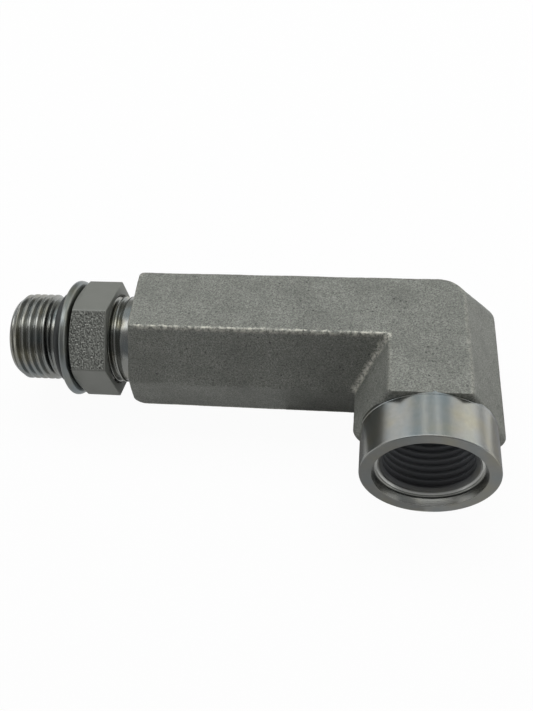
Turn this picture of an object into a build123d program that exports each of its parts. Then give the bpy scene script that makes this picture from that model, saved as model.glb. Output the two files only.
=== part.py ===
from build123d import *
import os
from math import cos, radians, tan

# Hydraulic elbow adapter: a long forged elbow with an adjustable threaded stud and a threaded female port.
# Millimetres. The part lies on one of its two broad flats. The stud points toward -X, the port opens
# toward -Y and Z is up. The origin is on the resting flat, under the point where the axis of the stud
# crosses the axis of the port. Distances called reach are measured from that crossing point.

# Forged elbow: six-sided legs, widest at the parting plane halfway up
BODY_HEIGHT = 26.6
LONG_FLAT_WIDTH = 15.6
LONG_LEG_WIDTH = 24.3
SHORT_FLAT_WIDTH = 15.4
SHORT_LEG_WIDTH = 29.3
LONG_LEG_REACH = 63.0
LONG_END_LEAN = 7.0
SHORT_LEG_REACH = 24.2
SHORT_END_DRAFT = 9.0
OUTER_CORNER_RADIUS = 4.2
INNER_CORNER_RADIUS = 1.6
LONG_END_CORNER_RADIUS = 1.4
SHORT_END_CORNER_RADIUS = 2.4
FLAT_EDGE_RADIUS = 0.8

# Turned collar and female port
COLLAR_DIAMETER = 26.4
COLLAR_LENGTH = 7.4
COLLAR_EDGE_CHAMFER = 0.3
MOUTH_DIAMETER = 21.8
MOUTH_DEPTH = 1.5
SEAT_DIAMETER = 20.6
SEAT_DEPTH = 0.4
SEAT_LEDGE_WIDTH = 0.5
PORT_MINOR_DIAMETER = 17.5
PORT_DRILL_DEPTH = 17.5
DRILL_POINT_ANGLE = 118.0

# Turned stud
THREAD_DIAMETER = 19.05
TIP_DIAMETER = 16.3
TIP_CHAMFER_LENGTH = 1.8
TIP_THREAD_LENGTH = 9.0
RELIEF_LENGTH = 4.0
RELIEF_DIAMETER = 16.4
RELIEF_SHOULDER_ANGLE = 45.0
NECK_DIAMETER = 18.9
NECK_LENGTH = 1.7
PASSAGE_DIAMETER = 11.1
PASSAGE_EDGE_CHAMFER = 0.7

# Seal ring, backup washer and lock nut on the stud
SEAL_SECTION = 2.2
SEAL_SECTION_SIDES = 16
SEAL_BORE_CLEARANCE = 0.02
SEAL_WASHER_GAP = 0.1
WASHER_THICKNESS = 1.5
WASHER_DIAMETER = 25.6
WASHER_EDGE_CHAMFER = 0.4
WASHER_BORE_CLEARANCE = 0.08
WASHER_NUT_GAP = 0.05
NUT_ACROSS_FLATS = 22.22
NUT_THICKNESS = 8.3
NUT_STANDOFF = 4.15
NUT_TURN = 16.0
NUT_CHAMFER_ANGLE = 22.0
NUT_FACE_DIAMETER = 21.0
NUT_BORE_CLEARANCE = 0.05
NUT_BORE_CHAMFER = 0.4

# Places that follow from the sizes above
AXIS_HEIGHT = BODY_HEIGHT / 2
PORT_REACH = SHORT_LEG_REACH + COLLAR_LENGTH
NECK_REACH = LONG_LEG_REACH + NECK_LENGTH
NUT_BACK = LONG_LEG_REACH + NUT_STANDOFF
WASHER_BACK = NUT_BACK + NUT_THICKNESS + WASHER_NUT_GAP
WASHER_FACE = WASHER_BACK + WASHER_THICKNESS
SEAL_CENTRE = WASHER_FACE + SEAL_WASHER_GAP + SEAL_SECTION / 2
RELIEF_START = WASHER_FACE - SEAL_WASHER_GAP
TIP_THREAD_START = RELIEF_START + RELIEF_LENGTH
STUD_REACH = TIP_THREAD_START + TIP_THREAD_LENGTH

# Local Z runs outward along each axis, and local Y is up
STUD_PLANE = Plane(origin=(0, 0, AXIS_HEIGHT), x_dir=(0, -1, 0), z_dir=(-1, 0, 0))
PORT_PLANE = Plane(origin=(0, 0, AXIS_HEIGHT), x_dir=(1, 0, 0), z_dir=(0, -1, 0))


def turned(*points):
    """A turned solid from (radius, distance along the axis) points, about local Z."""
    profile = Plane.XZ * make_face(Polyline(*points, close=True))
    return revolve(profile, Axis.Z)


def drill_point(diameter):
    """Length of the cone that a drill leaves at the bottom of its hole."""
    return diameter / 2 / tan(radians(DRILL_POINT_ANGLE / 2))


def crossed_bar(plane, *corners):
    """A straight bar through the crossing point, with the given side view on the plane."""
    return extrude(plane * make_face(Polyline(*corners, close=True)), STUD_REACH, both=True)


def forged_half(flat_height, long_end, short_end):
    """One half of the forging, from the parting plane to the flat at this height, where its legs end."""
    long_edge = LONG_LEG_WIDTH / 2
    long_flat = LONG_FLAT_WIDTH / 2
    short_edge = SHORT_LEG_WIDTH / 2
    short_flat = SHORT_FLAT_WIDTH / 2

    def bar(plane, start, start_at_flat, end, end_at_flat):
        parting = [(start, AXIS_HEIGHT), (end, AXIS_HEIGHT)]
        return crossed_bar(plane, *parting, (end_at_flat, flat_height), (start_at_flat, flat_height))

    long_leg = bar(Plane.YZ, -long_edge, -long_flat, long_edge, long_flat) & bar(
        Plane.XZ, -LONG_LEG_REACH, -long_end, short_edge, short_flat
    )
    short_leg = bar(Plane.XZ, -short_edge, -short_flat, short_edge, short_flat) & bar(
        Plane.YZ, -SHORT_LEG_REACH, -short_end, long_edge, long_flat
    )
    half = long_leg + short_leg
    corners = [
        ((-short_edge, -long_edge), (-short_flat, -long_flat), INNER_CORNER_RADIUS),
        ((short_edge, long_edge), (short_flat, long_flat), OUTER_CORNER_RADIUS),
        ((-short_edge, -SHORT_LEG_REACH), (-short_flat, -short_end), SHORT_END_CORNER_RADIUS),
        ((short_edge, -SHORT_LEG_REACH), (short_flat, -short_end), SHORT_END_CORNER_RADIUS),
        ((-LONG_LEG_REACH, long_edge), (-long_end, long_flat), LONG_END_CORNER_RADIUS),
        ((-LONG_LEG_REACH, -long_edge), (-long_end, -long_flat), LONG_END_CORNER_RADIUS),
    ]
    for parting, flat, radius in corners:
        middle = (Vector(*parting, AXIS_HEIGHT) + Vector(*flat, flat_height)) / 2
        edge = half.edges().filter_by(GeomType.LINE).sort_by(lambda line: (line.center() - middle).length)[0]
        half = fillet(edge, radius)
    rim = half.faces().sort_by_distance((0, 0, flat_height))[0].edges()
    return fillet(rim, FLAT_EDGE_RADIUS)


def forged_blank():
    """The elbow as forged: drafted down and up from the parting plane, with rounded flat edges."""
    lean = AXIS_HEIGHT * tan(radians(LONG_END_LEAN))
    short_end = SHORT_LEG_REACH - AXIS_HEIGHT * tan(radians(SHORT_END_DRAFT))
    lower = forged_half(0, LONG_LEG_REACH + lean, short_end)
    return lower + forged_half(BODY_HEIGHT, LONG_LEG_REACH - lean, short_end)


def stud_turning():
    """The outside of the stud: neck, lock thread, seal relief, tip thread and lead chamfer."""
    thread = THREAD_DIAMETER / 2
    relief = RELIEF_DIAMETER / 2
    shoulder = (thread - relief) * tan(radians(RELIEF_SHOULDER_ANGLE))
    return turned(
        (0, 0),
        (NECK_DIAMETER / 2, 0),
        (NECK_DIAMETER / 2, NECK_REACH),
        (thread, NECK_REACH + (THREAD_DIAMETER - NECK_DIAMETER) / 2),
        (thread, RELIEF_START - shoulder),
        (relief, RELIEF_START),
        (relief, TIP_THREAD_START - shoulder),
        (thread, TIP_THREAD_START),
        (thread, STUD_REACH - TIP_CHAMFER_LENGTH),
        (TIP_DIAMETER / 2, STUD_REACH),
        (0, STUD_REACH),
    )


def stud_passage():
    """The flow passage drilled from the stud's tip past the crossing point."""
    bore = PASSAGE_DIAMETER / 2
    return turned(
        (0, -bore - drill_point(PASSAGE_DIAMETER)),
        (bore, -bore),
        (bore, STUD_REACH - PASSAGE_EDGE_CHAMFER),
        (bore + PASSAGE_EDGE_CHAMFER, STUD_REACH),
        (0, STUD_REACH),
    )


def port_cavity():
    """The female port: flared mouth, seal seat with its ledge, countersink, threaded bore, drill point, passage."""
    mouth = MOUTH_DIAMETER / 2
    seat = SEAT_DIAMETER / 2
    ledge = seat - SEAT_LEDGE_WIDTH
    minor = PORT_MINOR_DIAMETER / 2
    bore = PASSAGE_DIAMETER / 2
    seat_start = PORT_REACH - MOUTH_DEPTH
    seat_end = seat_start - SEAT_DEPTH
    countersink_end = seat_end - (ledge - minor)
    drill_end = PORT_REACH - PORT_DRILL_DEPTH
    passage_start = drill_end - drill_point(PORT_MINOR_DIAMETER) + drill_point(PASSAGE_DIAMETER)
    return turned(
        (0, 0),
        (bore, 0),
        (bore, passage_start),
        (minor, drill_end),
        (minor, countersink_end),
        (ledge, seat_end),
        (seat, seat_end),
        (seat, seat_start),
        (mouth, PORT_REACH),
        (0, PORT_REACH),
    )


def collar_turning():
    """The turned collar round the port."""
    rim = COLLAR_DIAMETER / 2
    return turned(
        (0, 0),
        (rim, 0),
        (rim, PORT_REACH - COLLAR_EDGE_CHAMFER),
        (rim - COLLAR_EDGE_CHAMFER, PORT_REACH),
        (0, PORT_REACH),
    )


def elbow_body():
    """The one-piece steel elbow, forged, then turned and drilled from both ends."""
    body = forged_blank() + STUD_PLANE * stud_turning() + PORT_PLANE * collar_turning()
    return body - STUD_PLANE * stud_passage() - PORT_PLANE * port_cavity()


def lock_nut():
    """The hexagonal lock nut, chamfered toward the washer, with a countersunk bore."""
    corner = NUT_ACROSS_FLATS / 2 / cos(radians(30))
    face = NUT_FACE_DIAMETER / 2
    bore = THREAD_DIAMETER / 2 + NUT_BORE_CLEARANCE
    hexagon = extrude(RegularPolygon(NUT_ACROSS_FLATS / 2, 6, major_radius=False, rotation=NUT_TURN), NUT_THICKNESS)
    envelope = turned(
        (0, 0),
        (corner, 0),
        (corner, NUT_THICKNESS - (corner - face) * tan(radians(NUT_CHAMFER_ANGLE))),
        (face, NUT_THICKNESS),
        (0, NUT_THICKNESS),
    )
    hole = turned(
        (0, 0),
        (bore + NUT_BORE_CHAMFER, 0),
        (bore, NUT_BORE_CHAMFER),
        (bore, NUT_THICKNESS - NUT_BORE_CHAMFER),
        (bore + NUT_BORE_CHAMFER, NUT_THICKNESS),
        (0, NUT_THICKNESS),
    )
    return STUD_PLANE * Pos(0, 0, NUT_BACK) * ((hexagon & envelope) - hole)


def backup_washer():
    """The backup washer between the lock nut and the seal ring, with both rims eased."""
    rim = WASHER_DIAMETER / 2
    bore = THREAD_DIAMETER / 2 + WASHER_BORE_CLEARANCE
    ring = turned(
        (bore, 0),
        (rim - WASHER_EDGE_CHAMFER, 0),
        (rim, WASHER_EDGE_CHAMFER),
        (rim, WASHER_THICKNESS - WASHER_EDGE_CHAMFER),
        (rim - WASHER_EDGE_CHAMFER, WASHER_THICKNESS),
        (bore, WASHER_THICKNESS),
    )
    return STUD_PLANE * Pos(0, 0, WASHER_BACK) * ring


def o_ring():
    """The rubber seal ring in the stud's relief, in front of the washer. Its round section has flats."""
    centre = RELIEF_DIAMETER / 2 + SEAL_BORE_CLEARANCE + SEAL_SECTION / 2
    section = Plane.XZ * Pos(centre, 0) * RegularPolygon(SEAL_SECTION / 2, SEAL_SECTION_SIDES)
    return STUD_PLANE * Pos(0, 0, SEAL_CENTRE) * revolve(section, Axis.Z)


PIECES = {
    "elbow_body": elbow_body,
    "lock_nut": lock_nut,
    "backup_washer": backup_washer,
    "o_ring": o_ring,
}

if __name__ == "__main__":
    os.makedirs("parts", exist_ok=True)
    for node, make in PIECES.items():
        export_step(make(), f"parts/{node}.step")
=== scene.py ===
"""The looks of a forged steel elbow adapter: its long forging, its stud with the lock nut, and its port."""

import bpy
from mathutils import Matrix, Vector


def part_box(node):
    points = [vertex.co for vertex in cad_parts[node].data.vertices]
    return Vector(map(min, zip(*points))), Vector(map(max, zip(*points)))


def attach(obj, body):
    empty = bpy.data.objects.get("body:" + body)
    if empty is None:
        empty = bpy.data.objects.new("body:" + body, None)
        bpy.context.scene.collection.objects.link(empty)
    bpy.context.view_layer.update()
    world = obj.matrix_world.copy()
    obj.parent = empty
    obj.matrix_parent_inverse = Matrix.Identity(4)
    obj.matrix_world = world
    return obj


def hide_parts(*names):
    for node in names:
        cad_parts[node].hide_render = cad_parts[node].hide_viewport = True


bl_info = {
    "name": "Forged Elbow Adapter",
    "version": (1, 0, 0),
    "blender": (4, 5, 0),
    "location": "3D View > Sidebar > Elbow",
    "description": "Models a forged, turned and threaded hydraulic elbow round its packed solids",
    "category": "Object",
}

import math

import bmesh
import bpy
from bpy.props import FloatProperty, FloatVectorProperty, IntProperty, PointerProperty
from bpy.types import Operator, Panel, PropertyGroup
from mathutils import Matrix, Vector, noise

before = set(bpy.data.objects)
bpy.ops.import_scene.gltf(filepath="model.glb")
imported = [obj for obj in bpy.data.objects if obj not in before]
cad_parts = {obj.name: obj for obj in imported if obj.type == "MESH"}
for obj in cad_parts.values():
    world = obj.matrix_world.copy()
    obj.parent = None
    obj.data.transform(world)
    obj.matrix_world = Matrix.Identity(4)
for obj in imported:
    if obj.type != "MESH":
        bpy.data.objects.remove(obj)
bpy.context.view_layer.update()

MM = 0.001
TURN = 2 * math.pi

# A metre, farther than any profile reaches
FAR = 1

# The socket behind the collar, where the turned port stands in the forging
SOCKET_STEP = 1.4 * MM
SOCKET_DEPTH = 19.4 * MM

# Segments round the washer and the seal
RING_STEPS = 192

# Vertex attributes that the finishes read
# Lighter rims and inner fillet of the forging: partly rubbed wear, partly painted highlight
WORN_EDGE_AND_HIGHLIGHT = "worn_edge"
ROLLED_SKIN = "rolled_skin"
SKIN_HEIGHT = "skin_height"

# Driving places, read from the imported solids: the crossing of the two axes is at x 0, y 0 and this height
BODY_LOW, BODY_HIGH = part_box("elbow_body")
NUT_LOW, NUT_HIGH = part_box("lock_nut")
WASHER_LOW, WASHER_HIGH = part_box("backup_washer")
SEAL_LOW, SEAL_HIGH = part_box("o_ring")
AXIS_HEIGHT = (BODY_LOW.z + BODY_HIGH.z) / 2
STUD_REACH = -BODY_LOW.x
PORT_REACH = -BODY_LOW.y
CROSSING = Vector((0, 0, AXIS_HEIGHT))

# Local Z runs outward along each axis, and local Y is up
STUD_FRAME = Matrix.Translation(CROSSING) @ Matrix(((0, 0, -1), (-1, 0, 0), (0, 1, 0))).to_4x4()
PORT_FRAME = Matrix.Translation(CROSSING) @ Matrix(((1, 0, 0), (0, 0, -1), (0, 1, 0))).to_4x4()


def size(label, meaning, default):
    """A length that a user can set."""
    return FloatProperty(name=label, description=meaning, default=default, min=0, unit="LENGTH", precision=5)


def tint(label, meaning, default):
    """A colour that a user can set."""
    return FloatVectorProperty(
        name=label, description=meaning, default=default, size=3, min=0, max=1, subtype="COLOR"
    )


def share(label, meaning, default):
    """A number from 0 to 1 that a user can set."""
    return FloatProperty(name=label, description=meaning, default=default, min=0, max=1, subtype="FACTOR")


def slant(label, meaning, degrees):
    """An angle that a user can set."""
    return FloatProperty(name=label, description=meaning, default=math.radians(degrees), subtype="ANGLE")


def location(label, meaning, x, y, z):
    """A point that a user can set, given in millimetres."""
    return FloatVectorProperty(name=label, description=meaning, default=(x * MM, y * MM, z * MM), subtype="XYZ")


class ForgingSettings(PropertyGroup):
    """The six-sided forging and its scale-marked skin."""

    long_width: size("Long leg width", "Width of the long leg at the parting line", 24.3 * MM)
    long_flat: size("Long flat width", "Width of the long leg's broad flat", 15.8 * MM)
    short_width: size("Short leg width", "Width of the short leg at the parting line", 29.3 * MM)
    short_flat: size("Short flat width", "Width of the short leg's broad flat", 15.4 * MM)
    long_reach: size("Long reach", "From the crossing to the stud end of the forging", 63.3 * MM)
    short_reach: size("Short reach", "From the crossing to the port end of the forging", 22.3 * MM)
    nose_reach: size("Nose reach", "How far the parting line stands out at the port end", 1.9 * MM)
    nose_height: size("Nose height", "How far above and below the parting line that nose reaches", 6.5 * MM)
    upper_lean: size("Upper end lean", "How far the stud end draws in up to the upper flat", 1.63 * MM)
    lower_lean: size("Lower end lean", "How far the stud end stands out down to the lower flat", 2.25 * MM)
    end_skew: size("End skew", "How far the stud end runs out of square to each side", 0.35 * MM)
    end_limit: size("End limit", "Farthest reach of the stud end, clear of the nut run back", 65.08 * MM)
    short_draft: size("Short end draft", "How far the port end draws in up to each flat", 0.25 * MM)
    inner_radius: size("Inner corner", "Fillet between the two legs", 0.9 * MM)
    outer_radius: size("Outer corner", "Rounding of the outer corner at the parting line", 2.9 * MM)
    outer_flat_radius: size("Outer flat corner", "Rounding of the outer corner at the flats", 5.4 * MM)
    port_end_radius: size("Port end corners", "Rounding of the port end at the parting line", 2.4 * MM)
    port_flat_radius: size("Port flat corners", "Rounding of the port end at the flats", 0.8 * MM)
    flat_shift: size("Flat shift", "How far the short leg's flats sit toward the stud", 0.45 * MM)
    corner_pull: size("Corner pull", "How much further the flats' outer corner draws in", 0.5 * MM)
    stud_end_radius: size("Stud end corners", "Rounding of the corners at the stud end", 1.1 * MM)
    rim_inset: size("Rim", "How far the rounding reaches into each broad flat", 0.45 * MM)
    rim_drop: size("Rim drop", "How far the rounding reaches down the sides", 0.42 * MM)
    parting_ease: size("Parting ease", "Rounding of the ridge along the parting line", 0.35 * MM)
    cell: size("Skin cell", "Spacing of the skin's mesh", 0.55 * MM)
    scale_depth: size("Scale depth", "How deep the forging scale marks the skin", 0.07 * MM)
    wave_depth: size("Wave depth", "How far the flats depart from true", 0.14 * MM)
    heel_radius: size("Heel", "Rounding of the stud end's lower edge", 3.0 * MM)
    metal: tint("Forged metal", "Colour of the plated forging", (0.205, 0.211, 0.190))
    pit: tint("Pits", "Colour at the bottom of the small pits", (0.045, 0.047, 0.044))
    # Colour of the lighter rims and inner fillet: partly rubbed wear, partly painted highlight
    edge: tint("Rubbed edges", "Colour of the rubbed edges", (0.58, 0.57, 0.50))


class StudSettings(PropertyGroup):
    """The turned stud: neck, lock thread, relief and tip thread."""

    thread_radius: size("Thread radius", "Radius at the crests", 9.525 * MM)
    pitch: size("Pitch", "Distance from crest to crest", 1.5875 * MM)
    thread_depth: size("Thread depth", "From crest to root", 0.92 * MM)
    neck_radius: size("Neck radius", "Radius of the smooth neck behind the nut", 9.45 * MM)
    relief_radius: size("Relief radius", "Radius of the groove under the seal", 8.2 * MM)
    tip_radius: size("Tip radius", "Radius of the stud's end face", 8.15 * MM)
    bore_radius: size("Bore radius", "Radius of the flow passage", 5.55 * MM)
    crest_phase: slant("Crest phase", "Turns both threads about the stud", 130)
    steps: IntProperty(name="Steps per turn", description="Segments round the stud", default=144, min=24)


class PortSettings(PropertyGroup):
    """The turned collar and the threaded port inside it."""

    collar_radius: size("Collar radius", "Outside radius of the collar", 13.24 * MM)
    root_relief: size("Collar root", "How far the collar's root stands out beyond the collar", 0.06 * MM)
    collar_reach: size("Collar start", "From the crossing to the start of the collar", 22.4 * MM)
    rim_chamfer: size("Rim chamfer", "Chamfer round the collar's rim", 0.3 * MM)
    mouth_radius: size("Mouth radius", "Radius of the mouth at the face", 10.9 * MM)
    mouth_depth: size("Mouth depth", "How far the mouth's flare reaches in", 1.5 * MM)
    seat_radius: size("Seat radius", "Radius at the bottom of the flared mouth", 10.3 * MM)
    seat_depth: size("Seat depth", "From the flare to the ledge", 0.4 * MM)
    ledge_radius: size("Ledge radius", "Radius where the bright countersink starts", 9.8 * MM)
    root_radius: size("Thread root radius", "Radius at the bottom of the thread", 9.5 * MM)
    minor_radius: size("Thread minor radius", "Radius of the tapped hole", 8.75 * MM)
    steps: IntProperty(name="Steps per turn", description="Segments round the port", default=160, min=24)


class NutSettings(PropertyGroup):
    """The hexagonal lock nut."""

    across_flats: size("Across flats", "Width across opposite flats", 22.22 * MM)
    face_radius: size("Face radius", "Radius of the round face toward the washer", 10.5 * MM)
    bore_radius: size("Bore radius", "Radius of the nut's bore", 9.575 * MM)
    turn: slant("Turn", "Turns the hexagon about the stud", 46.0)
    chamfer: slant("Chamfer angle", "Angle of the face chamfer", 22)
    rough_depth: size("Rough depth", "Relief of the rough rolled flats", 0.22 * MM)
    metal: tint("Nut metal", "Colour of the plated nut", (0.215, 0.221, 0.202))


class WasherSettings(PropertyGroup):
    """The round-edged backup washer."""

    radius: size("Radius", "Outside radius of the washer", 12.79 * MM)
    bore_radius: size("Bore radius", "Radius of the washer's hole", 9.605 * MM)
    rounding: size("Rounding", "Rounding of the outer edge toward the seal", 0.5 * MM)
    back_rounding: size("Back rounding", "Rounding of the outer edge toward the nut", 0.95 * MM)


class SealSettings(PropertyGroup):
    """The rubber seal ring."""

    section: size("Section", "Diameter of the ring's section", 2.2 * MM)
    rubber: tint("Rubber", "Colour of the rubber", (0.010, 0.012, 0.012))


class TurnedSettings(PropertyGroup):
    """The finish of every turned surface."""

    collar: tint("Collar metal", "Colour of the turned and plated collar", (0.37, 0.375, 0.355))
    stud: tint("Stud metal", "Colour of the turned and plated stud", (0.30, 0.305, 0.288))
    washer: tint("Washer metal", "Colour of the plated washer", (0.25, 0.268, 0.264))
    roughness: share("Roughness", "Roughness of the turned surfaces", 0.25)


class StageSettings(PropertyGroup):
    """The floor, the lights and the camera."""

    camera_place: location("Camera", "Where the camera stands", -11.15, -115.23, 145.46)
    camera_target: location("Target", "The point that the camera looks at", -35.97, 0.41, 13.3)
    camera_roll: slant("Roll", "How far the camera is rolled", -7.16)
    lens: FloatProperty(name="Lens", description="Focal length, 36 mm frame", default=40.965, unit="CAMERA")
    shift: FloatVectorProperty(name="Shift", description="Lens shift", default=(0.00997, -0.01879), size=2)
    ambient: FloatProperty(name="Ambient", description="Strength of the room light", default=0.28, min=0)
    overhead: FloatProperty(name="Overhead", description="Overhead lamp in watts", default=2.35, min=0)


class ElbowSettings(PropertyGroup):
    """All the adapter's settings."""

    forging: PointerProperty(type=ForgingSettings)
    stud: PointerProperty(type=StudSettings)
    port: PointerProperty(type=PortSettings)
    nut: PointerProperty(type=NutSettings)
    washer: PointerProperty(type=WasherSettings)
    seal: PointerProperty(type=SealSettings)
    turned: PointerProperty(type=TurnedSettings)
    stage: PointerProperty(type=StageSettings)


# Shader nodes written as expressions


class Value:
    """An output of a shader node that takes part in sums."""

    def __init__(self, shader, socket):
        self.shader = shader
        self.socket = socket

    def __add__(self, other):
        return self.shader.math("ADD", self, other)

    def __sub__(self, other):
        return self.shader.math("SUBTRACT", self, other)

    def __rsub__(self, other):
        return self.shader.math("SUBTRACT", other, self)

    def __mul__(self, other):
        return self.shader.math("MULTIPLY", self, other)

    __radd__ = __add__
    __rmul__ = __mul__

    def __pow__(self, other):
        return self.shader.math("POWER", self, other)


class Shader:
    """A material's or world's node tree, cleared and ready for new nodes."""

    def __init__(self, owner):
        owner.use_nodes = True
        self.tree = owner.node_tree
        self.tree.nodes.clear()

    def node(self, kind, settings=None, inputs=None, output=0):
        """Adds a node, sets it up, fills its sockets and gives one output, or each output of a tuple."""
        node = self.tree.nodes.new(kind)
        for name, setting in (settings or {}).items():
            if name == "stops":
                self.set_stops(node.color_ramp, setting)
            else:
                setattr(node, name, setting)
        for name, value in (inputs or {}).items():
            if isinstance(value, Value):
                self.tree.links.new(value.socket, node.inputs[name])
            else:
                node.inputs[name].default_value = value
        if isinstance(output, tuple):
            return [Value(self, node.outputs[name]) for name in output]
        return Value(self, node.outputs[output]) if node.outputs else None

    def set_stops(self, ramp, stops):
        """Sets a ramp to (place, brightness) stops."""
        while len(ramp.elements) < len(stops):
            ramp.elements.new(1.0)
        for element, (place, brightness) in zip(ramp.elements, stops):
            element.position = place
            element.color = (brightness, brightness, brightness, 1)

    def math(self, operation, *terms):
        return self.node("ShaderNodeMath", {"operation": operation}, dict(enumerate(terms)))

    def ramp(self, value, *stops):
        return self.node("ShaderNodeValToRGB", {"stops": stops}, {"Fac": value})

    def blend(self, factor, first, second):
        """Mixes two colours."""
        colours = [c if isinstance(c, Value) else (*c, 1) for c in (first, second)]
        inputs = {0: factor, 6: colours[0], 7: colours[1]}
        return self.node("ShaderNodeMix", {"data_type": "RGBA"}, inputs, 2)

    def noise(self, coordinates, grain, detail=3.0, roughness=0.55):
        """Noise whose coarsest marks are about as large as the grain."""
        inputs = {"Vector": coordinates, "Scale": 1 / grain, "Detail": detail, "Roughness": roughness}
        return self.node("ShaderNodeTexNoise", inputs=inputs)

    def attribute(self, name):
        """A number that each vertex carries."""
        return self.node("ShaderNodeAttribute", {"attribute_name": name}, output="Fac")

    def coordinates(self):
        return self.node("ShaderNodeTexCoord", output="Object")

    def parts(self, vector):
        """The x, y and z of a vector."""
        return self.node("ShaderNodeSeparateXYZ", inputs={0: vector}, output=(0, 1, 2))

    def bump(self, height, distance, strength):
        inputs = {"Height": height, "Distance": distance, "Strength": strength}
        return self.node("ShaderNodeBump", inputs=inputs)

    def surface(self, inputs):
        """Ends a material in a Principled shader."""
        principled = self.node("ShaderNodeBsdfPrincipled", inputs=inputs)
        self.node("ShaderNodeOutputMaterial", inputs={"Surface": principled})


def scaled(colour, factor):
    """A colour made darker or lighter by a factor."""
    return [channel * factor for channel in colour]


def axis_distances(shader, coordinates, axis):
    """The place along the stud's axis, x, or the port's, y, and the distance out from that axis."""
    x, y, z = shader.parts(coordinates)
    along, across = (x, y) if axis == "x" else (y, x)
    up = z - CROSSING.z
    return along, (across * across + up * up) ** 0.5


def ring_lines(shader, coordinates, axis, pitch):
    """Turning marks: lines that follow circles round an axis, on cylinders and on faces alike."""
    along, radius = axis_distances(shader, coordinates, axis)
    inputs = {"W": (along + radius) * (1 / pitch), "Scale": 1.0, "Detail": 3.0}
    return shader.node("ShaderNodeTexNoise", {"noise_dimensions": "1D"}, inputs)


def forged_finish(settings):
    """Plated forging skin: grey with a fine light and dark grain, small dark pits, and lighter rims and inner
    fillet that are partly rubbed wear and partly painted highlight.
    """
    material = bpy.data.materials.new("plated_forging")
    shader = Shader(material)
    place = shader.coordinates()
    grain = shader.noise(place, 0.30 * MM, 4.0, 0.70)
    fine = shader.noise(place, 0.14 * MM, 1.0)
    clouds = shader.noise(place, 7 * MM, 4.0, 0.6)
    spacing = {"Vector": place, "Scale": 1 / (1.7 * MM), "Randomness": 1.0}
    cells = shader.node("ShaderNodeTexVoronoi", inputs=spacing)
    crowd = shader.ramp(shader.noise(place, 6 * MM, 2.0), (0.40, 0.0), (0.66, 1.0))
    pits = shader.ramp(cells + fine * 0.10 + (1 - crowd) * 0.10, (0.15, 1.0), (0.25, 0.0))
    # The rims are lighter partly as rubbed wear and partly as painted highlight; the inner fillet is painted
    # highlight
    wear_and_highlight_share = shader.attribute(WORN_EDGE_AND_HIGHLIGHT)
    rubbed_and_highlight = wear_and_highlight_share * shader.ramp(shader.noise(place, 0.8 * MM, 4.0, 0.7), (0.42, 0.0), (0.60, 1.0))
    tone = shader.ramp(grain * 0.75 + fine * 0.25, (0.38, 0.0), (0.64, 1.0))
    dark = scaled(settings.metal, 0.46)
    colour = shader.blend(tone, dark, scaled(settings.metal, 1.68))
    colour = shader.blend(shader.ramp(clouds, (0.35, 0.32), (0.60, 0.0)), colour, dark)
    # Painted highlight, with some rubbed wear, on the rims and the inner fillet
    colour = shader.blend(rubbed_and_highlight, colour, settings.edge)
    colour = shader.blend(pits * 0.8, colour, settings.pit)
    height = grain * 0.7 + fine * 0.3 - pits * 0.8
    shader.surface({
        "Base Color": colour,
        "Metallic": 0.28 + rubbed_and_highlight * 0.3,
        "Roughness": 0.58 + grain * 0.12 - rubbed_and_highlight * 0.14,
        "Normal": shader.bump(height, 0.07 * MM, 0.8),
    })
    return material


def within(shader, away, radius):
    """1 nearer to the axis than the radius, and 0 farther out."""
    return shader.ramp(away * (1 / radius) - 0.5, (0.49, 1.0), (0.505, 0.0))


def bore_shade_and_highlight(shader, coordinates, metal, colour, rough, radius):
    """The port's face, mouth and bore: painted shade darkens the face and mouth, a painted highlight lightens
    the ledge, and painted shade darkens the bore, which is also made dull.

    The ramps' places are centimetres in from the port's face.
    """
    along, away = axis_distances(shader, coordinates, "y")
    inward = (along + PORT_REACH) * (0.1 / MM)
    # Masks for the painted shade on the face ring, mouth and bore, and for the painted highlight on the ledge
    facing = shader.ramp(inward, (0.008, 1.0), (0.016, 0.0))
    mouth = within(shader, away, radius + 1.4 * MM) * shader.ramp(inward, (0.008, 0.0), (0.013, 1.0))
    ledge = mouth * shader.ramp(inward, (0.180, 0.0), (0.187, 1.0), (0.222, 1.0), (0.232, 0.0))
    deep = within(shader, away, radius) * shader.ramp(inward, (0.192, 0.0), (0.312, 1.0))
    bore_shade_ramp = shader.ramp(inward, (0.25, 0.0), (0.95, 1.0))
    painted_bore_shade = shader.blend(bore_shade_ramp, (0.05, 0.053, 0.058), (0.28, 0.29, 0.31))
    # Painted shade on the face ring and the flared mouth
    colour = shader.blend(facing * 0.12 + mouth * 0.5, colour, scaled(metal, 0.36))
    # Painted highlight on the ledge
    colour = shader.blend(ledge * 0.85, colour, (0.80, 0.81, 0.78))
    # Painted shade in the deep bore
    colour = shader.blend(deep * 0.95, colour, painted_bore_shade)
    return colour, rough + facing * 0.14 + deep * 0.4, 1 - deep * 0.95


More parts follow.
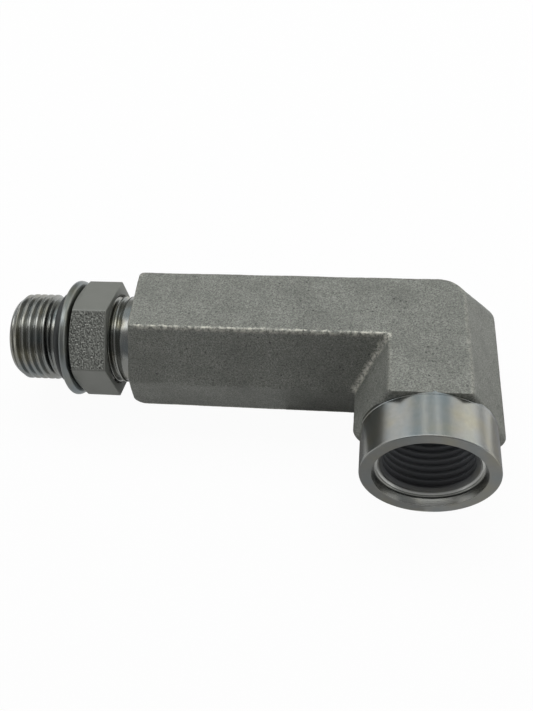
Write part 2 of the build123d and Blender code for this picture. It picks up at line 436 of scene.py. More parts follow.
def turned_finish(name, metal, axis, roughness, pitch=0.09 * MM, depth=0.0025 * MM, bore_radius=None):
    """Turned and plated steel: fine circular tool marks over a slightly uneven tint; given a bore radius, also
    the port's painted shade and painted highlight.
    """
    material = bpy.data.materials.new(name)
    shader = Shader(material)
    place = shader.coordinates()
    lines = ring_lines(shader, place, axis, pitch)
    broad = ring_lines(shader, place, axis, pitch * 9)
    cloud = shader.noise(place, 6 * MM, 2.0, 0.5)
    smear = shader.noise(place, 1.1 * MM, 4.0, 0.6)
    red, green, blue = metal
    warm = (red * 1.10, green * 1.04, blue * 0.88)
    cool = (red * 0.88, green * 0.96, blue * 1.04)
    colour = shader.blend(shader.ramp(cloud, (0.50, 0.0), (0.72, 1.0)), metal, warm)
    colour = shader.blend(shader.ramp(cloud, (0.28, 1.0), (0.48, 0.0)), colour, cool)
    stain = shader.ramp(smear * 0.6 + lines * 0.4, (0.30, 0.0), (0.62, 1.0))
    colour = shader.blend(stain * 0.22, colour, scaled(metal, 0.55))
    rough = roughness - 0.04 + lines * 0.08
    metallic = 1.0
    if bore_radius:
        # The port gets painted shade on its face, mouth and bore, and a painted highlight on its ledge
        colour, rough, metallic = bore_shade_and_highlight(shader, place, metal, colour, rough, bore_radius)
    shader.surface({
        "Base Color": colour,
        "Metallic": metallic,
        "Roughness": rough,
        "Normal": shader.bump(lines * 0.9 + broad * 0.15 + smear * 0.15, depth, 1.0),
    })
    return material


def nut_finish(settings):
    """Plated nut: satin flats, and two flats with the bar's own rough skin."""
    material = bpy.data.materials.new("plated_nut")
    shader = Shader(material)
    place = shader.coordinates()
    grain = shader.noise(place, 0.30 * MM, 4.0, 0.6)
    clouds = shader.noise(place, 4 * MM, 3.0, 0.5)
    rough = shader.attribute(ROLLED_SKIN)
    height = shader.attribute(SKIN_HEIGHT)
    metal = settings.metal
    satin = shader.blend(grain * 0.5 + clouds * 0.5, scaled(metal, 0.86), scaled(metal, 1.12))
    skin = shader.ramp(height * 0.6 + grain * 0.4, (0.38, 0.0), (0.50, 0.38), (0.62, 1.0))
    colour = shader.blend(rough, satin, shader.blend(skin, scaled(metal, 0.36), scaled(metal, 1.95)))
    shader.surface({
        "Base Color": colour,
        "Metallic": 0.45,
        "Roughness": 0.46 + grain * 0.10 - rough * 0.06,
        "Normal": shader.bump(grain, 0.05 * MM, 0.3),
    })
    return material


def rubber_finish(settings):
    """Black nitrile rubber with a dull sheen."""
    material = bpy.data.materials.new("seal_rubber")
    shader = Shader(material)
    place = shader.coordinates()
    bloom = shader.noise(place, 1.5 * MM, 4.0, 0.6)
    grain = shader.noise(place, 0.12 * MM, 2.0)
    shader.surface({
        "Base Color": shader.blend(bloom, settings.rubber, scaled(settings.rubber, 2.6)),
        "Roughness": 0.38 + bloom * 0.22,
        "Normal": shader.bump(grain, 0.02 * MM, 0.5),
    })
    return material


# Mesh helpers


def soften(bm, angle=math.radians(28)):
    """Smooth shading that stays crisp across edges sharper than the angle."""
    bm.normal_update()
    for face in bm.faces:
        face.smooth = True
    for edge in bm.edges:
        edge.smooth = len(edge.link_faces) == 2 and edge.calc_face_angle(0) < angle


def close_up(bm, tolerance=0.002 * MM):
    """Merges what meets, and turns every face outward."""
    bmesh.ops.remove_doubles(bm, verts=bm.verts, dist=tolerance)
    bmesh.ops.dissolve_degenerate(bm, edges=bm.edges, dist=tolerance / 2)
    bmesh.ops.recalc_face_normals(bm, faces=bm.faces)


def made_object(bm, name):
    """An object of the mesh, linked to the scene."""
    mesh = bpy.data.meshes.new(name)
    bm.to_mesh(mesh)
    bm.free()
    made = bpy.data.objects.new(name, mesh)
    bpy.context.scene.collection.objects.link(made)
    return made


def place_piece(bm, name, frame_matrix, material, body, node):
    """Makes an object of the mesh with its material, ties it to its body, and hides the imported node that it
    stands in for.
    """
    bm.transform(frame_matrix)
    piece = made_object(bm, name)
    piece.data.materials.append(material)
    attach(piece, body)
    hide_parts(node)
    return piece


def full_spin(bm, geom, steps):
    """Spins a line once round local Z."""
    bmesh.ops.spin(bm, geom=geom, cent=(0, 0, 0), axis=(0, 0, 1), angle=TURN, steps=steps, use_merge=True)


def spun(bm, profile, steps):
    """Spins a line of (radius, distance) points once round local Z."""
    verts = [bm.verts.new((radius, 0, distance)) for radius, distance in profile]
    edges = [bm.edges.new(pair) for pair in zip(verts, verts[1:])]
    full_spin(bm, verts + edges, steps)


def ramped(points, distance):
    """The radius at a distance along a line of (radius, distance) points, in order of distance."""
    for (r0, d0), (r1, d1) in zip(points, points[1:]):
        if distance <= d1:
            share_along = min(max((distance - d0) / (d1 - d0), 0), 1)
            return r0 + (r1 - r0) * share_along
    return points[-1][0]


def screwed(bm, crest, root, pitch, start, end, phase, steps, limit):
    """A thread's surface from start to end: one ridge screwed round local Z, then held within a limit.

    The ridge's points are a share of the pitch along, and a share of the way from root to crest.
    """
    flank = [(0, 0), (0.07, 0.05), (0.14, 0.2), (0.21, 0.45), (0.28, 0.7), (0.35, 0.93), (0.40, 1.0)]
    ridge = flank + [(1 - along, rise) for along, rise in reversed(flank)]
    turns = math.ceil((end - start) / pitch) + 2
    first = start - 1.5 * pitch
    new = bmesh.new()
    verts = [new.verts.new((root + (crest - root) * rise, 0, first + pitch * along)) for along, rise in ridge]
    edges = [new.edges.new(pair) for pair in zip(verts, verts[1:])]
    bmesh.ops.spin(
        new, geom=verts + edges, cent=(0, 0, 0), axis=(0, 0, 1), dvec=(0, 0, pitch / steps),
        angle=TURN * turns, steps=steps * turns,
    )
    bmesh.ops.remove_doubles(new, verts=new.verts, dist=0.001 * MM)
    bmesh.ops.rotate(new, cent=(0, 0, 0), matrix=Matrix.Rotation(phase, 3, "Z"), verts=new.verts)
    for height, side in ((start, -1), (end, 1)):
        geom = new.verts[:] + new.edges[:] + new.faces[:]
        point, outward = (0, 0, height), (0, 0, side)
        bmesh.ops.bisect_plane(new, geom=geom, plane_co=point, plane_no=outward, clear_outer=True)
    for vert in new.verts:
        radius = math.hypot(vert.co.x, vert.co.y)
        factor = limit(radius, vert.co.z) / radius
        vert.co.x *= factor
        vert.co.y *= factor
    mesh = bpy.data.meshes.new("thread")
    new.to_mesh(mesh)
    new.free()
    bm.from_mesh(mesh)
    bpy.data.meshes.remove(mesh)


def drilled(piece, cutters):
    """Drills closed cutters out of a closed piece."""
    for cutter in cutters:
        drill = piece.modifiers.new("drill", "BOOLEAN")
        drill.operation = "DIFFERENCE"
        drill.solver = "EXACT"
        drill.object = cutter
        graph = bpy.context.evaluated_depsgraph_get()
        mesh = bpy.data.meshes.new_from_object(piece.evaluated_get(graph))
        piece.modifiers.clear()
        piece.data = mesh
    for cutter in cutters:
        bpy.data.objects.remove(cutter)


def cutter(profile, frame_matrix, steps=96):
    """A closed solid of revolution to drill with."""
    bm = bmesh.new()
    spun(bm, profile, steps)
    close_up(bm)
    bm.transform(frame_matrix)
    return made_object(bm, "cutter")


# The forging


def turned_corner(corner, before, after, radius, segments):
    """Points round a corner, from the line before it to the line after it."""
    points = []
    for step in range(segments + 1):
        angle = math.pi / 2 * step / segments
        short_of, past = 1 - math.sin(angle), 1 - math.cos(angle)
        points.append(corner - before * radius * short_of + after * radius * past)
    return points


def section_outline(settings, height, inset=0.0):
    """The forging's outline at a height: points that match from level to level, each with its share of wear and
    painted highlight.

    The fillet between the legs has a share of 2: it gets painted highlight from end to end, and the rest gets
    wear and painted highlight only at the rims.
    """
    rise = height - AXIS_HEIGHT
    ridge = math.hypot(rise, settings.parting_ease) - settings.parting_ease
    drawn = ridge / (math.hypot(AXIS_HEIGHT, settings.parting_ease) - settings.parting_ease)
    long_half = (settings.long_width + (settings.long_flat - settings.long_width) * drawn) / 2 - inset
    short_half = (settings.short_width + (settings.short_flat - settings.short_width) * drawn) / 2 - inset
    lean = settings.upper_lean if rise > 0 else settings.lower_lean
    heel = max(settings.heel_radius - height, 0)
    rounded = settings.heel_radius - math.sqrt(settings.heel_radius ** 2 - heel ** 2)
    left = max(inset, rounded) - settings.long_reach + lean * rise / AXIS_HEIGHT
    nose = 0.5 + 0.5 * math.cos(math.pi * min(abs(rise) / settings.nose_height, 1))
    front = inset / 3 - settings.short_reach - settings.nose_reach * nose + settings.short_draft * drawn
    stud = settings.stud_end_radius - inset
    inner = settings.inner_radius + inset
    outer = settings.outer_radius + (settings.outer_flat_radius - settings.outer_radius) * drawn - inset
    port = settings.port_end_radius + (settings.port_flat_radius - settings.port_end_radius) * drawn - inset
    shift, pull = settings.flat_shift * drawn, settings.corner_pull * drawn
    skew = settings.end_skew
    long_run = settings.long_reach - settings.short_width / 2
    short_run = settings.short_reach - settings.long_width / 2
    long_back = settings.long_reach + settings.short_width / 2
    short_back = settings.short_reach + settings.long_width / 2
    # Each corner has its radius, segments and share of wear and painted highlight, and then the length and that
    # share for the run that follows it
    corners = [
        (Vector((left + skew, -long_half)), stud, 6, 0.3, long_run, 1.0),
        (Vector((-short_half - shift, -long_half)), inner, 6, 2.0, short_run, 0.25),
        (Vector((-short_half - shift, front)), port, 7, 0.3, settings.short_width, 0.2),
        (Vector((short_half - shift, front)), port, 7, 0.3, short_back, 0.3),
        (Vector((short_half - shift - pull, long_half)), outer, 10, 0.3, long_back, 0.1),
        (Vector((left - skew, long_half)), stud, 6, 0.3, settings.long_width, 0.3),
    ]
    ring = []
    for index, (corner, radius, segments, corner_wear_and_highlight, run, run_wear_and_highlight) in enumerate(corners):
        following, next_radius = corners[(index + 1) % 6][:2]
        before = (corner - corners[index - 1][0]).normalized()
        after = (following - corner).normalized()
        ring += [(point, corner_wear_and_highlight) for point in turned_corner(corner, before, after, radius, segments)]
        start, end = corner + after * radius, following - after * next_radius
        cells = round(run / settings.cell)
        ring += [(start.lerp(end, step / cells), run_wear_and_highlight) for step in range(1, cells)]
    return ring


def forging_levels(settings):
    """The heights and insets of the forging's rings, from the lower flat to the upper one."""
    drop, inset = settings.rim_drop, settings.rim_inset
    rim_steps = 5
    turns = [math.pi / 2 * step / rim_steps for step in range(rim_steps + 1)]
    rim = [(drop * (1 - math.sin(turn)), inset * (1 - math.cos(turn))) for turn in reversed(turns)]
    wall = 2 * AXIS_HEIGHT - 2 * drop
    steps = round(wall / settings.cell / 2) * 2
    walls = [(drop + wall / steps * step, 0.0) for step in range(1, steps)]
    return rim + walls + [(2 * AXIS_HEIGHT - height, inward) for height, inward in reversed(rim)]


def slice_flat(bm, face, cell):
    """Cuts a broad flat into small cells with evenly spaced planes."""
    snap = 0.02 * MM
    geom = [face, *face.edges, *face.verts]
    for axis in range(2):
        places = [vert.co[axis] for vert in face.verts]
        low, high = min(places), max(places)
        count = int((high - low) / cell)
        normal = Vector((axis == 0, axis == 1, 0))
        for step in range(1, count):
            point = normal * (low + (high - low) * step / count)
            made = bmesh.ops.bisect_plane(bm, geom=geom, plane_co=point, plane_no=normal, dist=snap)
            geom = made["geom"]


def forging_mesh(bm, settings):
    """The elbow as forged, made of rings from flat to flat."""
    # How far down the rims the wear and painted highlight reach, and the painted highlight along the fillet
    bright_rim_reach, valley_highlight = 1.9, 0.8
    wear_and_highlight_layer = bm.verts.layers.float.new(WORN_EDGE_AND_HIGHLIGHT)
    rings = []
    for height, inset in forging_levels(settings):
        verts = []
        depth = min(height, 2 * AXIS_HEIGHT - height)
        rim_wear_and_highlight = min(max(bright_rim_reach - depth / settings.rim_drop, 0), 1)
        for point, wear_and_highlight in section_outline(settings, height, inset):
            vert = bm.verts.new((*point, height))
            # Above the parting line the fillet between the legs gets painted highlight; elsewhere the rims get
            # wear and painted highlight
            valley = wear_and_highlight > 1 and height > AXIS_HEIGHT
            vert[wear_and_highlight_layer] = max(min(wear_and_highlight, 1) * rim_wear_and_highlight, valley_highlight if valley else 0)
            verts.append(vert)
        rings.append([bm.edges.new(pair) for pair in zip(verts, verts[1:] + verts[:1])])
    for lower, upper in zip(rings, rings[1:]):
        bmesh.ops.bridge_loops(bm, edges=lower + upper)
    ringed = set(bm.verts)
    for ring in (rings[0], rings[-1]):
        cap = bmesh.ops.contextual_create(bm, geom=ring)["faces"][0]
        slice_flat(bm, cap, settings.cell)
    for vert in set(bm.verts) - ringed:
        vert[wear_and_highlight_layer] = 0


def drilled_wall(place, bore, recess, recess_end):
    """Whether a point, measured from the crossing, lies on one of the drilled holes."""
    bore_edge, recess_edge = 0.4 * MM, 0.3 * MM
    from_stud_axis, from_port_axis = math.hypot(place.y, place.z), math.hypot(place.x, place.z)
    along_stud = from_stud_axis < bore + bore_edge
    along_port = place.y < 0 and from_port_axis < bore + bore_edge
    in_recess = place.y < recess_edge - recess_end and from_port_axis < recess + recess_edge
    return along_stud or along_port or in_recess


def roughen_skin(bm, settings, bore, recess, recess_end):
    """Moves each point of the forged skin by the forging's waves and scale.

    The drilled holes stay true, and nothing passes the forging's greatest height, width and reach.
    """
    wave_size, scale_size = 8 * MM, 1.5 * MM
    fading, narrowing, layers = 0.8, 2.1, 3
    bm.normal_update()
    moves = []
    for vert in bm.verts:
        if drilled_wall(vert.co - CROSSING, bore, recess, recess_end):
            continue
        wave = noise.noise(vert.co / wave_size)
        scale = noise.fractal(vert.co / scale_size, fading, narrowing, layers)
        moves.append((vert, vert.normal * (settings.wave_depth * wave + settings.scale_depth * scale) / 2))
    for vert, move in moves:
        vert.co += move
        vert.co.z = min(max(vert.co.z, BODY_LOW.z), BODY_HIGH.z)
        vert.co.x = min(max(vert.co.x, -settings.end_limit), BODY_HIGH.x)


class ELBOW_OT_forging(Operator):
    """Models the forged elbow with its rounded edges, drilled passages and scale-marked skin"""

    bl_idname = "elbow.forging"
    bl_label = "Forged elbow"

    def execute(self, context):
        settings = context.scene.elbow.forging
        bore = context.scene.elbow.stud.bore_radius
        recess = context.scene.elbow.port.collar_radius - SOCKET_STEP
        recess_end = PORT_REACH - SOCKET_DEPTH
        point_angle = math.radians(59)
        drill_point = bore / math.tan(point_angle)
        out = STUD_REACH
        bm = bmesh.new()
        forging_mesh(bm, settings)
        close_up(bm)
        finish = forged_finish(settings)
        unturned = Matrix.Identity(4)
        piece = place_piece(bm, "forged_elbow", unturned, finish, "elbow", "elbow_body")
        stud_hole = [(0, -bore - drill_point), (bore, -bore), (bore, out), (0, out)]
        port_hole = [(0, 0), (bore, 0), (bore, recess_end), (recess, recess_end), (recess, out), (0, out)]
        drilled(piece, [cutter(stud_hole, STUD_FRAME), cutter(port_hole, PORT_FRAME)])
        bm = bmesh.new()
        bm.from_mesh(piece.data)
        roughen_skin(bm, settings, bore, recess, recess_end)
        soften(bm, math.radians(40))
        bm.to_mesh(piece.data)
        bm.free()
        return {"FINISHED"}


# The turned stud and port


class ELBOW_OT_stud(Operator):
    """Turns the stud and cuts its two threads"""

    bl_idname = "elbow.stud"
    bl_label = "Threaded stud"

    def execute(self, context):
        settings = context.scene.elbow.stud
        crest, depth, tip = settings.thread_radius, settings.thread_depth, settings.tip_radius
        relief, neck, bore = settings.relief_radius, settings.neck_radius, settings.bore_radius
        washer_gap, relief_length, lead_length = 0.1 * MM, 4.6 * MM, 1.8 * MM
        inside, neck_middle, neck_end, bore_middle = 56 * MM, 62.5 * MM, 64.5 * MM, 75 * MM
        soft_edge, soft_rim, bore_chamfer, lap = 0.25 * MM, 0.12 * MM, 0.7 * MM, 0.03 * MM
        root = crest - depth
        relief_start = -WASHER_LOW.x - washer_gap
        tip_start = relief_start + relief_length
        lead = STUD_REACH - lead_length
        shoulder = crest - relief
        envelope = [
            (crest, 0), (crest, relief_start - shoulder), (relief, relief_start),
            (relief, tip_start - shoulder), (crest, tip_start), (crest, lead), (tip, STUD_REACH),
        ]
        run_out = [(neck, 0), (neck, neck_end), (root, neck_end + settings.pitch * 0.9), (root, FAR)]
        inner_end = relief_start - shoulder + depth + lap
        outer_start = tip_start - shoulder + (root - relief) - lap
        outer_end = lead + (STUD_REACH - lead) * depth / (crest - tip) + lap

        def held(radius, distance):
            return min(max(radius, ramped(run_out, distance)), ramped(envelope, distance))

        neck_line = [(bore, inside), (neck, inside), (neck, neck_middle), (neck, neck_end)]
        groove = [
            (ramped(envelope, inner_end), inner_end),
            (relief + soft_edge, relief_start - soft_edge), (relief, relief_start + soft_edge),
            (relief, tip_start - shoulder - soft_edge), (relief + soft_edge, tip_start - shoulder + soft_edge),
            (ramped(envelope, outer_start), outer_start),
        ]
        face = [
            (ramped(envelope, outer_end), outer_end), (tip + soft_rim, STUD_REACH - 0.16 * MM),
            (tip, STUD_REACH - 0.04 * MM), (tip - soft_rim, STUD_REACH), (bore + bore_chamfer, STUD_REACH),
            (bore, STUD_REACH - bore_chamfer), (bore, bore_middle), (bore, inside),
        ]
        steps, phase = settings.steps, settings.crest_phase
        bm = bmesh.new()
        spun(bm, neck_line, steps)
        screwed(bm, crest, root, settings.pitch, neck_end, inner_end, phase, steps, held)
        spun(bm, groove, steps)
        screwed(bm, crest, root, settings.pitch, outer_start, outer_end, phase, steps, held)
        spun(bm, face, steps)
        close_up(bm, 0.004 * MM)
        soften(bm, math.radians(34))
        turned = context.scene.elbow.turned
        finish = turned_finish("turned_stud", turned.stud, "x", turned.roughness + 0.01)
        place_piece(bm, "threaded_stud", STUD_FRAME, finish, "elbow", "elbow_body")
        return {"FINISHED"}


class ELBOW_OT_port(Operator):
    """Turns the collar, its seat and the threaded port"""

    bl_idname = "elbow.port"
    bl_label = "Threaded port"

    def execute(self, context):
        settings = context.scene.elbow.port
        stud = context.scene.elbow.stud
        collar, mouth, seat = settings.collar_radius, settings.mouth_radius, settings.seat_radius
        ledge, minor, root = settings.ledge_radius, settings.minor_radius, settings.root_radius
        bore, chamfer = stud.bore_radius, settings.rim_chamfer
        thread_depth, drill_depth, soft, sliver = 15.4 * MM, 17.5 * MM, 0.05 * MM, 0.02 * MM
        face = PORT_REACH
        flare_end = face - settings.mouth_depth
        seat_floor = flare_end - settings.seat_depth
        step = seat_floor - (ledge - root) - soft
        thread_start = step - sliver
        thread_end = face - thread_depth
        drill_end = face - drill_depth
        back = face - SOCKET_DEPTH - sliver
        neck = collar - SOCKET_STEP
        lip = step - (root - minor) * 0.9
        countersink = [
            (minor, 0), (minor, thread_end), (minor, lip), (root + soft, thread_start), (root + soft, FAR),
        ]
        run_out = [(minor, 0), (minor, thread_end), (root, thread_end + stud.pitch), (root, FAR)]

        def held(radius, distance):
            return max(min(radius, ramped(run_out, distance)), ramped(countersink, distance))

        start = settings.collar_reach
        proud = collar + settings.root_relief
        flat = 0.3 * MM
        collar_line = [
            (neck, back), (neck, start - 2 * MM), (collar - flat, start - 1.1 * MM),
            (proud, start - 0.8 * MM), (proud, start - 0.1 * MM), (collar, start),
            (collar, start + 0.15 * MM), (collar, face - chamfer - flat),
        ]
        rim_line = [
            (collar, face - chamfer - soft), (collar - chamfer * 0.12, face - chamfer * 0.6),
            (collar - chamfer * 0.6, face - chamfer * 0.12), (collar - chamfer - soft, face),
            (collar - chamfer - flat, face), (mouth + flat, face), (mouth + soft, face),
        ]
        mouth_line = [
            (mouth - soft * 0.4, face - soft), (mouth - soft * 2, face - 0.25 * MM),
            (seat + soft, flare_end + 0.2 * MM), (seat, flare_end), (seat, seat_floor + soft),
            (seat - soft, seat_floor), (ledge + soft, seat_floor), (ledge, seat_floor - soft * 0.6),
            (root + soft, step), (root + soft, thread_start),
        ]
        inside = [(minor, thread_end), (minor, drill_end), (bore, back), (neck, back)]
        bm = bmesh.new()
        spun(bm, collar_line + rim_line + mouth_line, settings.steps)
        screwed(bm, minor, root, stud.pitch, thread_end, thread_start, 0.0, settings.steps, held)
        spun(bm, inside, settings.steps)
        close_up(bm, 0.004 * MM)
        soften(bm, math.radians(24))
        turned = context.scene.elbow.turned
        finish = turned_finish(
            "turned_port", turned.collar, "y", turned.roughness, 0.11 * MM, 0.005 * MM, root + 0.2 * MM
        )
        place_piece(bm, "threaded_port", PORT_FRAME, finish, "elbow", "elbow_body")
        return {"FINISHED"}


# The nut, the washer and the seal


class ELBOW_OT_nut(Operator):
    """Models the lock nut with its face chamfer and its two rough rolled flats"""

    bl_idname = "elbow.nut"
    bl_label = "Lock nut"

    def execute(self, context):
        settings = context.scene.elbow.nut
        half = settings.across_flats / 2
        corner = half / math.cos(math.radians(30))
        back, front = -NUT_HIGH.x, -NUT_LOW.x
        sides, per_side, wall_steps, chamfer_steps = 6, 66, 40, 16
        edge, ease, corner_flat = 0.12 * MM, 0.4 * MM, 0.10 * MM
        face_margin, hole_margin = 0.05 * MM, 0.01 * MM
        rolled_sides, fade_width, bump_size = (0, 3), 0.45 * MM, 0.29 * MM
        fading, narrowing, layers = 0.9, 2.2, 3
        bore, face = settings.bore_radius, settings.face_radius
        chamfer_end = front - (corner - face) * math.tan(settings.chamfer)
        fine = [chamfer_end + (front - chamfer_end) * i / chamfer_steps for i in range(chamfer_steps + 1)]
        coarse = [back + edge + (chamfer_end - back - edge) * i / wall_steps for i in range(wall_steps)]
        wall = [(corner, height) for height in coarse + fine]
        hole = [(bore + ease, front), (bore, front - ease), (bore, back + ease), (bore + ease, back)]
        rim = (corner - edge, back)
        bm = bmesh.new()
        spun(bm, [rim, *wall, (face, front), *hole, rim], sides * per_side)
        rough = bm.verts.layers.float.new(ROLLED_SKIN)
        relief = bm.verts.layers.float.new(SKIN_HEIGHT)
        sector = TURN / sides
        for vert in bm.verts:
            radius = math.hypot(vert.co.x, vert.co.y)
            on_face = radius < face + face_margin and vert.co.z > back + edge / 2
            if on_face or radius < bore + ease + hole_margin:
                continue
            angle = math.atan2(vert.co.y, vert.co.x) - settings.turn
            side = math.floor(angle / sector + 0.5) % sides
            off = (angle + sector / 2) % sector - sector / 2
            hexagon = half / math.cos(off)
            cone = face + (front - vert.co.z) / math.tan(settings.chamfer)
            limit = min(hexagon, corner - corner_flat, cone)
            if vert.co.z < back + edge / 2:
                limit -= edge
            across = half * math.tan(off)
            if side in rolled_sides and hexagon <= cone and vert.co.z > back + edge:
                from_corner = half * math.tan(sector / 2) - abs(across)
                margin = min(from_corner, vert.co.z - back, (cone - hexagon) * 2)
                fade = min(max(margin / fade_width, 0), 1)
                spot = Vector((across, vert.co.z, side * 10 * MM)) / bump_size
                bumps = noise.fractal(spot, fading, narrowing, layers)
                limit += settings.rough_depth * fade * (bumps * 0.5 - 0.25)
                vert[rough] = fade
                vert[relief] = 0.5 + 0.5 * bumps
            vert.co.x *= limit / radius
            vert.co.y *= limit / radius
        close_up(bm)
        soften(bm, math.radians(24))
        place_piece(bm, "hexagon_lock_nut", STUD_FRAME, nut_finish(settings), "nut", "lock_nut")
        return {"FINISHED"}


class ELBOW_OT_washer(Operator):
    """Models the backup washer with its rounded rim"""

    bl_idname = "elbow.washer"
    bl_label = "Backup washer"

    def execute(self, context):
        settings = context.scene.elbow.washer
        back, front = -WASHER_HIGH.x, -WASHER_LOW.x
        rim, bore = settings.radius, settings.bore_radius
        near, far = settings.rounding, settings.back_rounding
        arc_steps = 8
        arc = [math.pi / 2 * i / arc_steps for i in range(arc_steps + 1)]
        lower = [(rim - far + far * math.sin(a), back + far - far * math.cos(a)) for a in arc]
        upper = [(rim - near + near * math.cos(a), front - near + near * math.sin(a)) for a in arc]
        bm = bmesh.new()
        spun(bm, [(bore, back)] + lower + upper + [(bore, front), (bore, back)], RING_STEPS)
        close_up(bm)
        soften(bm)
        turned = context.scene.elbow.turned
        finish = turned_finish("plated_washer", turned.washer, "x", turned.roughness + 0.10, 0.2 * MM)
        place_piece(bm, "round_backup_washer", STUD_FRAME, finish, "washer", "backup_washer")
        return {"FINISHED"}


class ELBOW_OT_seal(Operator):
    """Models the rubber seal ring"""

    bl_idname = "elbow.seal"
    bl_label = "Seal ring"

    def execute(self, context):
        settings = context.scene.elbow.seal
        radius = settings.section / 2
        middle = (-SEAL_LOW.x - SEAL_HIGH.x) / 2
        centre = (SEAL_HIGH.z - SEAL_LOW.z) / 2 - radius
        bm = bmesh.new()
        made = bmesh.ops.create_circle(bm, segments=40, radius=radius)
        bmesh.ops.rotate(bm, cent=(0, 0, 0), matrix=Matrix.Rotation(math.pi / 2, 3, "X"), verts=made["verts"])
        bmesh.ops.translate(bm, vec=(centre, 0, middle), verts=made["verts"])
        full_spin(bm, bm.verts[:] + bm.edges[:], RING_STEPS)
        close_up(bm)
        soften(bm)
        finish = rubber_finish(settings)
        place_piece(bm, "rubber_seal_ring", STUD_FRAME, finish, "elbow", "o_ring")
        return {"FINISHED"}


# The stage


def rectangle(x, y, z):
    """The corners of a rectangle across one axis. There it has a place, and along the other two its ends."""
    if not isinstance(x, tuple):
        return [(x, y[0], z[0]), (x, y[1], z[0]), (x, y[1], z[1]), (x, y[0], z[1])]
    if not isinstance(y, tuple):
        return [(x[0], y, z[0]), (x[1], y, z[0]), (x[1], y, z[1]), (x[0], y, z[1])]
    return [(x[0], y[0], z), (x[1], y[0], z), (x[1], y[1], z), (x[0], y[1], z)]


def grey(level):
    """A grey of a brightness."""
    return (level, level, level)


def panel_sheet(name, corners, colour, strength, only_glossy=False):
    """A glowing or dark sheet beside the object, seen in reflections and, unless only glossy, as light."""
    bm = bmesh.new()
    bmesh.ops.contextual_create(bm, geom=[bm.verts.new(corner) for corner in corners])
    sheet = made_object(bm, name)
    material = bpy.data.materials.new(name)
    shader = Shader(material)
    glow = shader.node("ShaderNodeEmission", inputs={"Color": (*colour, 1), "Strength": strength})
    shader.node("ShaderNodeOutputMaterial", inputs={"Surface": glow})
    sheet.data.materials.append(material)
    sheet.visible_camera = False
    sheet.visible_diffuse = not only_glossy
    sheet.visible_shadow = not only_glossy


def seen_background(shader):
    """1 for rays that show the background: from the camera, or by way of gloss or glass."""
    kinds = ("Is Camera Ray", "Is Glossy Ray", "Is Transmission Ray")
    camera, glossy, clear = shader.node("ShaderNodeLightPath", output=kinds)
    inputs = {0: camera + glossy, 1: clear}
    return shader.node("ShaderNodeMath", {"operation": "ADD", "use_clamp": True}, inputs)


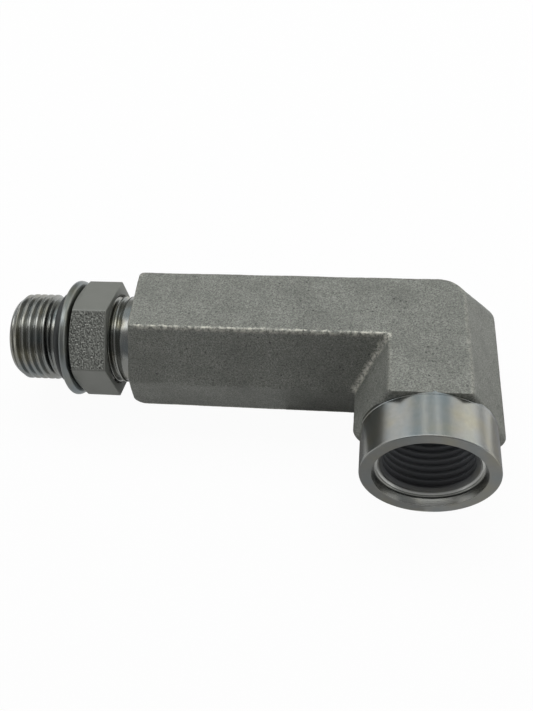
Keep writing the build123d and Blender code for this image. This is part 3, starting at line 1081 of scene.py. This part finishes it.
class ELBOW_OT_stage(Operator):
    """Sets up the pale floor, the lights and the camera"""

    bl_idname = "elbow.stage"
    bl_label = "Stage"

    def execute(self, context):
        settings = context.scene.elbow.stage
        scene = context.scene
        scene.view_settings.view_transform = "Standard"
        self.add_world(scene, settings)
        self.add_floor()
        self.add_lamp(settings)
        self.add_sheets()
        self.add_camera(scene, settings)
        return {"FINISHED"}

    def add_world(self, scene, settings):
        """Even room light, with white where the background is seen."""
        world = bpy.data.worlds.new("room")
        scene.world = world
        shader = Shader(world)
        strength = settings.ambient + seen_background(shader) * (1 - settings.ambient)
        glow = shader.node("ShaderNodeBackground", inputs={"Color": (1, 1, 1, 1), "Strength": strength})
        shader.node("ShaderNodeOutputWorld", inputs={"Surface": glow})

    def add_floor(self):
        """A pale floor that keeps the object's shadow."""
        bm = bmesh.new()
        bmesh.ops.create_grid(bm, x_segments=1, y_segments=1, size=1.5)
        floor = made_object(bm, "floor")
        material = bpy.data.materials.new("pale_floor")
        shader = Shader(material)
        diffuse = shader.node("ShaderNodeBsdfDiffuse", inputs={"Color": (0.80, 0.80, 0.80, 1)})
        glow = shader.node("ShaderNodeEmission", inputs={"Color": (1, 1, 1, 1), "Strength": 1.0})
        whiteness = seen_background(shader) * 0.96
        shown = shader.node("ShaderNodeMixShader", inputs={0: whiteness, 1: diffuse, 2: glow})
        shader.node("ShaderNodeOutputMaterial", inputs={"Surface": shown})
        floor.data.materials.append(material)

    def add_lamp(self, settings):
        """One broad lamp above and behind the object."""
        lamp = bpy.data.lights.new("overhead_lamp", "AREA")
        lamp.shape = "RECTANGLE"
        lamp.size = 0.8
        lamp.size_y = 0.22
        lamp.energy = settings.overhead
        overhead = bpy.data.objects.new("overhead_lamp", lamp)
        overhead.location = (0.02, 0.20, 0.48)
        overhead.rotation_euler = (math.radians(-25), 0, 0)
        overhead.visible_glossy = False
        bpy.context.scene.collection.objects.link(overhead)

    def add_sheets(self):
        """Flags in front and at the sides, a ceiling and wall behind, windows, and dark sheets on the table
        that show painted floor shade in reflections.
        """
        front, wide, brow, top = -0.45, 0.8, 0.42, 0.52
        dark = grey(0.24)
        brow_edge = -0.12
        panel_sheet("front_flag", rectangle((-wide, wide), front, (0, brow)), dark, 1.0)
        slope = [(-wide, front, brow), (wide, front, brow), (wide, brow_edge, top), (-wide, brow_edge, top)]
        panel_sheet("upper_flag", slope, dark, 1.0)
        panel_sheet("ceiling_sheet", rectangle((-0.31, 0.31), (0.09, 0.60), top), (0.50, 0.56, 0.58), 1.0)
        panel_sheet("back_wall", rectangle((-0.45, 0.45), 0.62, (0, top)), (0.40, 0.40, 0.38), 1.0)
        overhead_window = rectangle((-0.6, 0.2), (-0.10, 0.08), top - 0.01)
        panel_sheet("overhead_window", overhead_window, (1, 1, 1), 2.8, only_glossy=True)
        bands = ((0, 0.030, 1.0), (0.030, 0.055, 1.8), (0.055, 0.085, 3.0))
        for side, name, level in ((-1, "left", 0.24), (1, "right", 0.42)):
            middle, edge = 0.09 * side, 0.20 * side
            strip = rectangle((middle - 0.02, middle + 0.02), (0.18, 0.55), 0.505)
            panel_sheet(f"ceiling_strip_{name}", strip, (1, 1, 1), 1.7)
            for low, high, lift in bands:
                panel_sheet(f"low_flag_{name}", rectangle(edge, (-0.02, 0.35), (low, high)), grey(level), lift)
        # Dark sheets on the table, seen only in reflections: painted shade of the floor near the object
        floor_shade_sheets = (
            ("far_left", (-0.20, -0.03), (-0.15, 0.0), 0.62),
            ("front_left", (-0.03, 0.0), (-0.15, -0.03), 0.34),
            ("front_right", (0.0, 0.06), (-0.15, -0.03), 0.47),
            ("left", (-0.03, 0.0), (-0.03, 0.0), 0.15),
            ("right", (0.0, 0.06), (-0.03, 0.008), 0.34),
        )
        floor_shade_height = 0.6 * MM
        for name, across, along, level in floor_shade_sheets:
            floor_shade_sheet = rectangle(across, along, floor_shade_height)
            panel_sheet(f"reflected_floor_shade_{name}", floor_shade_sheet, grey(level), 1.0, only_glossy=True)
        panel_sheet("side_window", rectangle(0.5, (0.05, 0.60), (0.05, 0.42)), (1, 0.99, 0.92), 1.25)

    def add_camera(self, scene, settings):
        """The camera, aimed at its target and then rolled."""
        camera = bpy.data.cameras.new("camera")
        camera.lens = settings.lens
        camera.sensor_width = 36
        camera.shift_x, camera.shift_y = settings.shift
        camera.clip_start, camera.clip_end = 0.01, 10
        holder = bpy.data.objects.new("camera", camera)
        holder.location = settings.camera_place
        aim = (Vector(settings.camera_target) - Vector(settings.camera_place)).to_track_quat("-Z", "Y")
        holder.rotation_mode = "QUATERNION"
        holder.rotation_quaternion = aim @ Matrix.Rotation(settings.camera_roll, 3, "Z").to_quaternion()
        scene.collection.objects.link(holder)
        scene.camera = holder


OPERATORS = [
    ELBOW_OT_stage, ELBOW_OT_forging, ELBOW_OT_stud, ELBOW_OT_port,
    ELBOW_OT_nut, ELBOW_OT_washer, ELBOW_OT_seal,
]


class ELBOW_PT_panel(Panel):
    """Lists the adapter's pieces"""

    bl_label = "Elbow Adapter"
    bl_idname = "ELBOW_PT_panel"
    bl_space_type = "VIEW_3D"
    bl_region_type = "UI"
    bl_category = "Elbow"

    def draw(self, context):
        for operator in OPERATORS:
            self.layout.operator(operator.bl_idname, text=operator.bl_label)


GROUPS = [
    ForgingSettings, StudSettings, PortSettings, NutSettings, WasherSettings, SealSettings, TurnedSettings,
    StageSettings, ElbowSettings,
]


def register():
    for group in GROUPS + OPERATORS + [ELBOW_PT_panel]:
        bpy.utils.register_class(group)
    bpy.types.Scene.elbow = PointerProperty(type=ElbowSettings)


def unregister():
    del bpy.types.Scene.elbow
    for group in reversed(GROUPS + OPERATORS + [ELBOW_PT_panel]):
        bpy.utils.unregister_class(group)


def main():
    register()
    for step in (
        bpy.ops.elbow.stage, bpy.ops.elbow.forging, bpy.ops.elbow.stud, bpy.ops.elbow.port,
        bpy.ops.elbow.nut, bpy.ops.elbow.washer, bpy.ops.elbow.seal,
    ):
        step()


if __name__ == "__main__":
    main()
